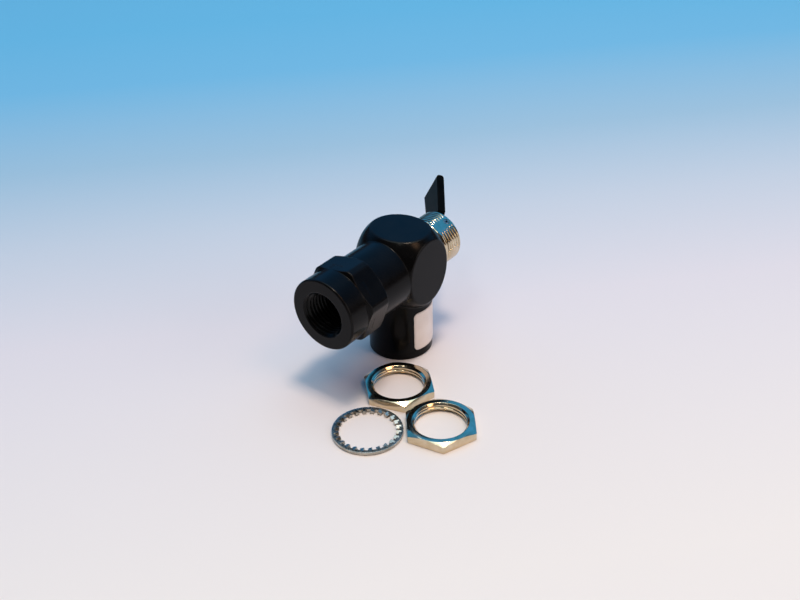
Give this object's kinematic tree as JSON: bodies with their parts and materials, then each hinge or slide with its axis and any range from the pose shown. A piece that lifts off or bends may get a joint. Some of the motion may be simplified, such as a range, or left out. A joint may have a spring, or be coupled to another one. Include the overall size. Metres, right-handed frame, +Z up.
{
  "type": "pneumatic toggle valve",
  "caption": "Panel-mounted pneumatic toggle valve: ball-shaped body, in-line tapped inlet with a hexagon, tapped outlet below, threaded bushing, cam lever, loose panel nuts and lock washer.",
  "frame": {"origin": "centre of the outlet port's face, on the surface that the valve stands on", "axes": "+Z up out of the outlet port along its axis, +X along the valve axis towards the toggle, so the inlet port faces -X"},
  "size_m": [0.0634, 0.0459, 0.0302],
  "materials": {
    "black_anodised": "satin black anodised",
    "nickel_plate": "bright nickel plate over brass",
    "bright_steel": "plain",
    "washer_steel": "zinc plated",
    "bare_brass": "turned",
    "seal_rubber": "matt",
    "lever_plastic": "moulded, satin",
    "label_paper": "matt film"
  },
  "bodies": {
    "housing": {"body": "black_anodised", "end_cap": "black_anodised", "end_cap_seal": "seal_rubber", "bushing": "nickel_plate", "bushing_seal": "seal_rubber", "pivot_pin": "bright_steel", "seat_insert": "bare_brass", "seat_seal": "seal_rubber", "return_spring": "bright_steel", "label": "label_paper"},
    "lever": {"toggle_lever": "lever_plastic"},
    "valve": {"plunger": "bright_steel", "plunger_seal_outer": "seal_rubber", "plunger_seal_inner": "seal_rubber", "valve_stem": "bright_steel", "poppet": "bare_brass", "poppet_seal": "seal_rubber"},
    "inner_nut": {"panel_nut_inner": "nickel_plate"},
    "outer_nut": {"panel_nut_outer": "nickel_plate"},
    "washer": {"lock_washer": "washer_steel"}
  },
  "joints": [
    {"name": "lever_swing", "type": "hinge", "parent": "housing", "child": "lever", "pos_m": [0.0141, 0, 0.0213], "axis": [0, 0.4772, -0.8788], "range_deg": [0, 86]},
    {"name": "valve_slide", "type": "slide", "parent": "housing", "child": "valve", "axis": [-1, 0, 0], "range_m": [0, 0.0016], "deforming": ["return_spring"]},
    {"name": "inner_nut_lift", "type": "slide", "parent": "housing", "child": "inner_nut", "axis": [0, 0, 1], "range_m": [0, 0.008]},
    {"name": "outer_nut_lift", "type": "slide", "parent": "housing", "child": "outer_nut", "axis": [0, 0, 1], "range_m": [0, 0.02]},
    {"name": "washer_lift", "type": "slide", "parent": "housing", "child": "washer", "axis": [0, 0, 1], "range_m": [0, 0.02]}
  ],
  "couplings": [
    {"joint": "lever_swing", "follows": "valve_slide", "rad_per_m": 938.1}
  ]
}
